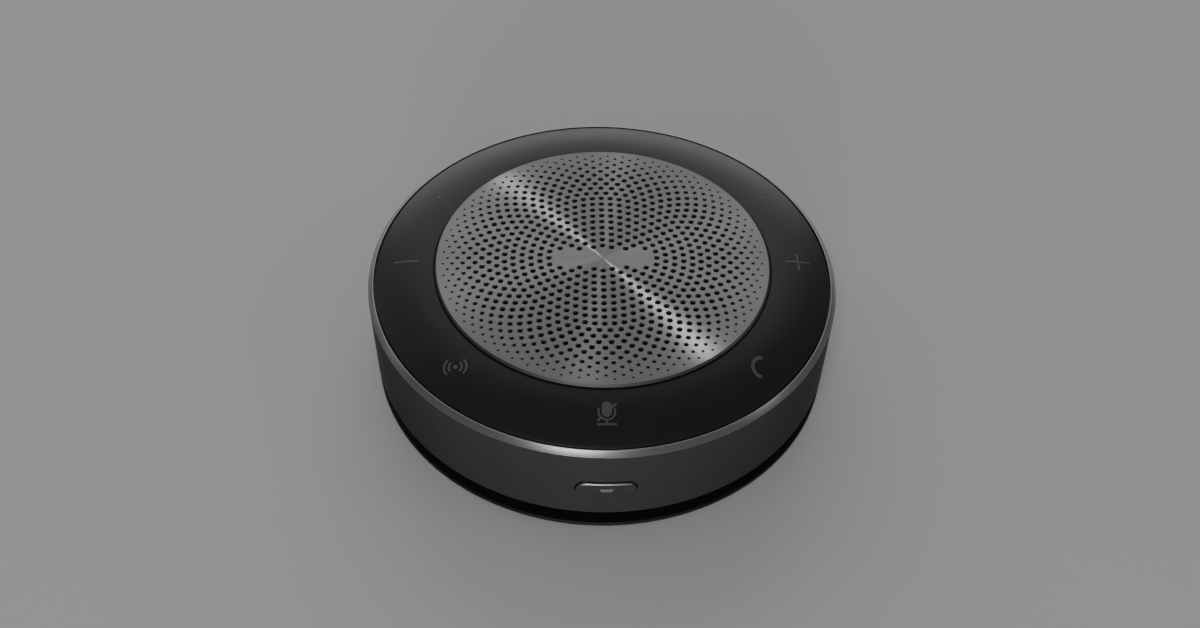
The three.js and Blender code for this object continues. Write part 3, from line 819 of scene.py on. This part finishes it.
def stroke(path, width, layer):
    # Ribbon along a path of (x, y) points in mm: half width w(s), which closes in a half circle at
    # each end, sqrt(w^2 - d^2) at d past the end. It lies on the dome, layer by layer.
    path = np.asarray(path, float)
    width = np.broadcast_to(np.asarray(width, float), len(path)) / 2
    lead = np.linspace(turn / 4, 0, 7)[:-1]

    def cap(end, inward, half):
        outward = (end - inward) / np.hypot(*(end - inward))
        return end + outward * (half * np.sin(lead))[:, None], half * np.cos(lead)

    first, firstWidth = cap(path[0], path[1], width[0])
    last, lastWidth = cap(path[-1], path[-2], width[-1])
    line = np.concatenate([first, path, last[::-1]])
    half = np.concatenate([firstWidth, width, lastWidth[::-1]])
    along = np.gradient(line, axis=0)
    along /= np.linalg.norm(along, axis=1, keepdims=True)
    side = np.stack([-along[:, 1], along[:, 0]], -1)
    share = np.linspace(-1, 1, symbols["across"])
    flat = (line[:, None] + side[:, None] * (half[:, None] * share)[..., None]) * mm
    radius = np.hypot(flat[..., 0], flat[..., 1])
    lift = (symbols["proud"] + symbols["layer"] * layer) * mm
    top = np.concatenate([flat, (domeHeight(radius) + lift)[..., None]], -1)
    under = top - [0, 0, symbols["depth"] * mm]
    rows, columns = top.shape[:2]
    upper = gridFaces(rows, columns, False)
    count = rows * columns
    edge = np.concatenate([np.arange(rows) * columns, (rows - 1) * columns + np.arange(1, columns),
                           (np.arange(rows)[::-1] * columns + columns - 1)[1:],
                           np.arange(columns)[::-1][1:-1]])
    following = np.roll(edge, -1)
    wall = np.stack([edge, following, following + count, edge + count], -1)
    points = np.concatenate([top.reshape(-1, 3), under.reshape(-1, 3)])
    return points, np.concatenate([upper, upper[:, ::-1] + count, wall])


def lineTo(start, end, count=8):
    return np.linspace(start, end, count)


def arcOf(centre, radius, fromDegrees, toDegrees, count=28):
    # Points centre + radius (cos a, sin a); radius may be a pair for an ellipse.
    a = np.radians(np.linspace(fromDegrees, toDegrees, count))
    return np.array(centre) + np.stack([np.cos(a), np.sin(a)], -1) * radius


def symbolAt(name, degrees, strokes):
    # A symbol is a list of (path, width) about its own middle, placed on the symbol circle.
    a = math.radians(degrees)
    middle = symbols["circle"] * np.array([math.cos(a), math.sin(a)])
    parts = [stroke(path + middle, width, layer) for layer, (path, width) in enumerate(strokes)]
    addPiece(name, parts, "touch_black", finishes=[inkFinish], sharp=50)


def addSymbols():
    # Minus, plus, struck-out microphone, handset and radio waves, in mm about each symbol's middle.
    thin = symbols["stroke"]
    symbolAt("volumeDownSymbol", 180, [(lineTo((-3.05, 0.4), (2.95, 0)), thin)])
    symbolAt("volumeUpSymbol", 0, [(lineTo((-3.1, -0.1), (3.1, 0.3)), thin),
                                   (lineTo((0, -2.9), (0, 2.9)), thin)])
    symbolAt("muteSymbol", 270, [
        (lineTo((0, 0.75), (0, 2.5)), 2.3),
        (arcOf((0, 0.65), (1.9, 1.75), 180, 360), thin), (lineTo((-1.9, 0.65), (-1.9, 1.75)), thin),
        (lineTo((1.9, 0.65), (1.9, 1.75)), thin), (lineTo((0, -1.15), (0, -2.1)), thin),
        (lineTo((-2.05, -2.25), (2.05, -2.25)), 0.5), (lineTo((-2.05, -1.3), (-1.25, -0.5)), thin),
        (lineTo((1.2, 2.0), (2.1, 3.0)), thin)])
    body = arcOf((1.6, -0.1), (2.15, 2.7), 106, 246)
    symbolAt("callSymbol", 315, [
        (body, np.interp(np.linspace(0, 1, 28), [0, 0.2, 0.5, 0.8, 1], [0.95, 0.8, 0.8, 0.85, 1.05])),
        (lineTo((0.8, 2.5), (1.6, 2.58)), 0.95), (lineTo((0.6, -2.45), (0.95, -2.6)), 1.1)])
    rays = [(arcOf((0, 0), radius, centre - 42, centre + 42), thin)
            for centre in (0, 180) for radius in (1.55, 2.7)]
    symbolAt("pairingSymbol", 225, [(lineTo((-0.01, 0), (0.01, 0), 3), 1.05), *rays])


addSymbols()
print("touch ring, lights and symbols made")


band = {
    "chamferLow": 27.9, "rimOuter": 58.75, "rimInner": 58.58,   # mm
    "rebate": 27.4, "inner": 57.6, "ribInner": 55.8, "ribHigh": 24.1, "ribLow": 22.9, "ribFoot": 22.0,
    "ledgeInner": 52.5, "ledgeHigh": 8.0,
    "wallTop": 0.06,       # the wall's panel ends this far under the chamfer
    "chamferFillet": 0.04, "rimFillet": 0.06, "ribFillet": 0.1,
    "footEdge": 0.35,      # rounding of the lower outer edge
    "slotGap": 0.14,       # round the button
    "slotEdge": 0.12,      # break of the slot's edge
}
button = {
    "length": 14.4, "height": 4.8,  # mm
    "edge": 0.36,          # rounding of the cap's front edge
    "skirt": 2.2,          # depth of the curved cap behind its face
    "back": 56.4, "flange": 1.2, "flangeBack": 55.6,      # radii from the axis, and the flange's reach
    "plungerBack": 55.05, "plunger": (3, 2),
    "lightTop": 3.5, "lightBottom": 2.6, "lightHeight": 1.0, "lightDepth": 0.9,
    "lightRim": 0.2,       # the light's recess is this much wider at the face
    "lightWell": 0.1,      # and this much wider inside
    "lensSunk": 0.05, "lensEdge": 0.12, "lensFlat": 0.7, "lensFoot": 0.02,
    "points": 96,          # round the outline
    "shine": 0.3,          # painted highlight: polished cap edge only where the outline rises steeper than this
}
inlet = {
    "length": 11.4, "height": 5.6, "middle": 11.4, "edge": 0.35,  # mm, of the slot in the band
    "lip": 0.15,           # radius of the steel mouth's rolled lip
    "depth": 1.0,          # the inside of the mouth stops this far before its back
}


def addBand():
    # Outer and inner walls are panels over angle and height, a column to each degree, with slots for
    # the button and the inlet. Tunnels join the slots, and turned outlines carry the chamfer, the
    # rim, the rib and the ledge.
    columns = aroundBody
    us = turn * np.arange(columns) / columns
    low, top, outer, inner = bandLow.z / mm, bandHigh.z / mm, bodyRadius / mm, band["inner"]
    chamfer, foot = band["chamferLow"], low + band["footEdge"]
    wallTop, gap = chamfer - band["wallTop"], 2 * band["slotGap"]
    slots = [
        {"columns": (261, 279), "rows": 9, "at": (math.radians(270), (buttonLow.z + buttonHigh.z) / 2),
         "size": (button["length"] + gap, button["height"] + gap), "edge": band["slotEdge"]},
        {"columns": (82, 98), "rows": 8, "at": (math.radians(90), inlet["middle"] * mm),
         "size": (inlet["length"], inlet["height"]), "edge": inlet["edge"]}]

    def wall(radius, rows, grown, flip=False):
        def place(u, v):
            return np.stack([radius * mm * np.cos(u), radius * mm * np.sin(u), v], -1)

        vs = np.linspace(*rows) * mm
        windows = []
        for slot in slots:
            nearest = np.interp(slot["at"][1], vs, np.arange(len(vs))) - slot["rows"] / 2
            first = int(np.clip(np.round(nearest), 0, len(vs) - 1 - slot["rows"]))
            size = np.array(slot["size"]) + 2 * grown * slot["edge"]
            windows.append({"columns": slot["columns"], "rows": (first, first + slot["rows"]), "rings": 5,
                            "centre": slot["at"], "scale": (radius * mm, 1.0),
                            "reach": lambda way, size=size: pillReach(way, *size)})
        return panel(us, vs, place, windows, flip)

    outerPoints, outerFaces, outerHoles = wall(outer, (foot, wallTop, 22), 1)
    _, _, lipHoles = wall(outer, (foot, wallTop, 22), 0)
    innerPoints, innerFaces, innerHoles = wall(inner, (band["ledgeHigh"], band["ribFoot"], 15), 0, True)
    parts = [(outerPoints, outerFaces), (innerPoints, innerFaces)]
    for slot, mouth, lip, back in zip(slots, outerHoles, lipHoles, innerHoles):
        shrink = 1 - slot["edge"] * mm / bodyRadius
        parts.append(ringed([mouth, lip * np.array([shrink, shrink, 1]), back]))
    crown = rounded([(outer, wallTop, 0), (outer, chamfer, band["chamferFillet"]),
                     (band["rimOuter"], top, band["rimFillet"]),
                     (band["rimInner"], top, band["chamferFillet"]),
                     (band["rimInner"], band["rebate"], 0)], closed=False)
    inside = rounded([(band["rimInner"], band["rebate"], 0), (inner, band["rebate"], 0),
                      (inner, band["ribHigh"], 0), (band["ribInner"], band["ribHigh"], band["ribFillet"]),
                      (band["ribInner"], band["ribLow"], band["ribFillet"]), (inner, band["ribFoot"], 0)],
                     closed=False)
    ledge = rounded([(inner, band["ledgeHigh"], 0), (band["ledgeInner"], band["ledgeHigh"], 0),
                     (band["ledgeInner"], low, 0), (outer, low, band["footEdge"] - 0.05), (outer, foot, 0)],
                    closed=False)
    parts += [(*turned(crown, columns, closed=False), 1), turned(inside, columns, closed=False),
              turned(ledge, columns, closed=False)]
    addPiece("sideBand", parts, "anodised_band", stands=["side_band"],
             finishes=[finishOf["anodised_band"], edgeFinish], sharp=25)


addBand()
print("side band made")


def addButton():
    # Rings about the button's middle: the outline reach(d) d, at depth y = -sqrt(R^2 - x^2) for the
    # face that follows the band, or at a flat y further back.
    middle = (buttonLow.z + buttonHigh.z) / 2 / mm
    face = -buttonLow.y / mm
    t = turn * np.arange(button["points"]) / button["points"]
    ways = np.stack([button["length"] * np.cos(t), button["height"] * np.sin(t)], -1)
    ways /= np.linalg.norm(ways, axis=1, keepdims=True)

    def cap(inset):
        return pillReach(ways, button["length"] - 2 * inset, button["height"] - 2 * inset)

    def light(grown=0):
        return wedgeReach(ways, button["lightTop"] + grown, button["lightBottom"] + grown,
                          button["lightHeight"] + grown)

    def front(reach, sunk):
        x, z = (reach[:, None] * ways).T
        return np.stack([x, -np.sqrt((face - sunk) ** 2 - x ** 2), z + middle], -1) * mm

    def flat(reach, y):
        x, z = (reach[:, None] * ways).T
        return np.stack([x, np.full(len(x), -y), z + middle], -1) * mm

    edge, depth, sunk = button["edge"], button["lightDepth"], button["lensSunk"]
    rim, well = light(button["lightRim"]), light(button["lightWell"])
    back, flangeBack, flange = button["back"], button["flangeBack"], cap(-button["flange"])
    plunger = pillReach(ways, *button["plunger"])
    spread = [front(rim + (cap(edge) - rim) * share, 0) for share in np.linspace(0, 1, 7)]
    rolled = [front(cap(edge * (1 - math.sin(a))), edge * (1 - math.cos(a)))
              for a in np.linspace(0, turn / 4, 7)]
    recess = [front(well, depth), front(well, sunk), spread[0]]
    behind = [rolled[-1], front(cap(0), button["skirt"]), flat(cap(0), back), flat(flange, back),
              flat(flange, flangeBack), flat(plunger, flangeBack), flat(plunger, button["plungerBack"])]
    # Painted highlight: only the upper faces of the cap's rolled edge take the bright polished finish; the
    # sides and bottom stay dark anodised.
    paintedTopHighlight = np.tile(ways[:, 1] > button["shine"], len(rolled) - 1).astype(int)
    addPiece("powerButton", [ringed(recess, closedStart=True), ringed(spread),
                             (*ringed(rolled), paintedTopHighlight), ringed(behind, closedEnd=True)],
             "anodised_band", body="power_button", stands=["power_button"],
             finishes=[finishOf["anodised_band"], edgeFinish], sharp=30)
    lens = [front(light(), depth - button["lensFoot"]), front(light(), button["lensEdge"]),
            front(light(-button["lensEdge"]), sunk), front(light(-button["lensFlat"]), sunk)]
    addPiece("buttonLight", [ringed(lens, closedStart=True, closedEnd=True)], "clear_plastic",
             body="power_button", stands=["button_light_window"], finishes=[slitFinish], sharp=40)


addButton()
print("power button made")


base = {
    "grooveInner": 46.0, "grooveOuter": 54.0, "grooveRoof": 1.25,   # mm
    "flangeHigh": 1.8, "neckOuter": 55.5, "neckInner": 53.7, "floor": 2.4, "neckHigh": 6.1,
    "bossCircle": 48.5, "bossRadius": 3.2, "bossBore": 1.4,
    "fillet": 0.15, "lipLow": 0.45, "lipHigh": 0.4,       # roundings of the groove and of the lip
    "footWidth": 7.6, "footLow": 0.35, "footHigh": 0.1,   # the rubber foot and its roundings
}


def addBase():
    # Turned tray: flange with a rounded lip, groove for the foot, neck, and four screw bosses.
    low, outer, bottom, fillet = baseLow.z / mm, baseHigh.x / mm, base["floor"], base["fillet"]
    grooveIn, grooveOut, roof = base["grooveInner"], base["grooveOuter"], base["grooveRoof"]
    neckIn, neckOut, neckTop = base["neckInner"], base["neckOuter"], base["neckHigh"]
    lip = base["flangeHigh"]
    tray = rounded([(0, low, 0), (grooveIn, low, fillet), (grooveIn, roof, 0), (grooveOut, roof, 0),
                    (grooveOut, low, fillet), (outer, low, base["lipLow"]), (outer, lip, base["lipHigh"]),
                    (neckOut, lip, 0.5), (neckOut, neckTop, 0.2), (neckIn, neckTop, 0.2),
                    (neckIn, bottom, 0.6), (0, bottom, 0)], closed=False)
    parts = [turned(tray, 300, closed=False)]
    bore, side, foot, top = base["bossBore"], base["bossRadius"], bottom - 0.3, baseHigh.z / mm
    boss = rounded([(bore, foot, 0), (side, foot, 0), (side, top, 0.3), (bore, top, 0.2)])
    for k in range(4):
        a = turn * (k + 0.5) / 4
        points, faces = turned(boss, 32)
        parts.append((points + np.array([math.cos(a), math.sin(a), 0]) * base["bossCircle"] * mm, faces))
    addPiece("baseCover", parts, "black_plastic", stands=["base_cover"], sharp=35)


def addFoot():
    # Flat rubber ring with rounded edges, in the groove of the base.
    outer, top = footHigh.x / mm, footHigh.z / mm
    inner = outer - base["footWidth"]
    foot = rounded([(inner, 0, base["footLow"]), (outer, 0, base["footLow"]), (outer, top, base["footHigh"]),
                    (inner, top, base["footHigh"])])
    addPiece("footRing", [turned(foot, 240)], "rubber", stands=["foot_ring"], sharp=35)


addBase()
addFoot()


def addInlet():
    # Rolled steel mouth of the inlet: slot outlines from its back, over the rounded lip and back in.
    low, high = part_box("usb_c_shell")
    length, height = (high.x - low.x) / mm, (high.z - low.z) / mm
    middle, mouth, back = (low.z + high.z) / 2 / mm, high.y / mm, low.y / mm
    sides = 64
    t = turn * np.arange(sides) / sides
    ways = np.stack([length * np.cos(t), height * np.sin(t)], -1)
    ways /= np.linalg.norm(ways, axis=1, keepdims=True)

    def slot(inset, y):
        x, z = (pillReach(ways, length - 2 * inset, height - 2 * inset)[:, None] * ways).T
        return np.stack([x, np.full(len(x), y), z + middle], -1) * mm

    lip = inlet["lip"]
    rolled = [slot(lip - lip * math.cos(a), mouth - lip + lip * math.sin(a))
              for a in np.linspace(0, turn / 2, 7)]
    rings = [slot(0, back), *rolled, slot(2 * lip, back + inlet["depth"])]
    addPiece("inletShell", [ringed(rings, closedStart=True, closedEnd=True)], "steel",
             stands=["usb_c_shell"], sharp=35)


addInlet()
print("base, foot and inlet made")


speaker = {"sectors": 12, "steps": 8}   # sectors of each flexing ring, steps in a sector
halfRoll = {
    "inner": 22.7,         # mm, where the inner lip starts
    "middle": 26.2,        # radius of the circle that the half roll follows
    "under": 2.05, "over": 2.4, "lip": 0.35,
    "flex": (24.0, 27.5),  # it follows the cone inside the first radius, the basket past the second
}
corrugation = {
    "inner": 8.6, "outer": 14.4, "glued": 14.9,   # mm
    "pitch": 2.2, "height": 0.33, "middle": 0.45, "thick": 0.25,
    "points": 34,
    "flex": (8.9, 14.0),
}


def addFlexing(name, slot, outline, start, end):
    # A ring that flexes between the basket and the cone, in sectors. start and end are not used.
    sweep, steps = turn / speaker["sectors"], speaker["steps"]
    for k in range(speaker["sectors"]):
        middle = sweep * (k + 0.5)
        points, faces = turned(outline, steps, start=middle - sweep / 2, sweep=sweep)
        corner = np.arange(len(outline)) * (steps + 1)
        caps = np.array([corner, corner[::-1] + steps])
        piece = makeMesh(f"{name}_{k + 1}", [(points, faces), (points, caps)], [finishOf[slot]], 40)
        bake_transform(piece)
        if k == 0:
            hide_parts(name)


def addSurround():
    # Half roll of rubber: two concentric half circles, under and over, between two flat lips.
    low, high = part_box("surround")
    z, edge, lip = low.z / mm, high.x / mm, halfRoll["lip"]
    middle, under, over = halfRoll["middle"], halfRoll["under"], halfRoll["over"]
    a = np.linspace(turn / 2, 0, 15)
    inside = np.stack([middle + under * np.cos(a), z + under * np.sin(a)], -1)
    outside = np.stack([middle + over * np.cos(a), np.maximum(z + over * np.sin(a), z + lip)], -1)[::-1]
    outline = np.concatenate([[(halfRoll["inner"], z)], inside, [(edge, z), (edge, z + lip)], outside,
                              [(halfRoll["inner"], z + lip)]]) * mm
    addFlexing("surround", "rubber", outline, *halfRoll["flex"])


def addSpider():
    # Corrugated cloth: z = middle - height cos(2 pi (r - inner) / pitch), flat where it is glued.
    low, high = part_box("spider")
    z, edge = low.z / mm, high.x / mm
    r = np.linspace(corrugation["inner"], corrugation["outer"], corrugation["points"])
    folds = np.cos(turn * (r - corrugation["inner"]) / corrugation["pitch"])
    line = np.stack([r, z + corrugation["middle"] - corrugation["height"] * folds], -1)
    line = np.concatenate([line, [(corrugation["glued"], z), (edge, z)]])
    outline = np.concatenate([line, (line + [0, corrugation["thick"]])[::-1]]) * mm
    addFlexing("spider", "spider_cloth", outline, *corrugation["flex"])


addSurround()
addSpider()
print("surround and spider made")


def finishNodes():
    # The pieces inside keep their solids and take the finish of their slot.
    slotOf = {entry["node"]: entry["material_slot"] for entry in frame["record"]["subparts"]}
    for name, node in frame["nodes"].items():
        node.data.materials.clear()
        node.data.materials.append(finishOf[slotOf[name]])


finishNodes()
print("inner pieces finished")
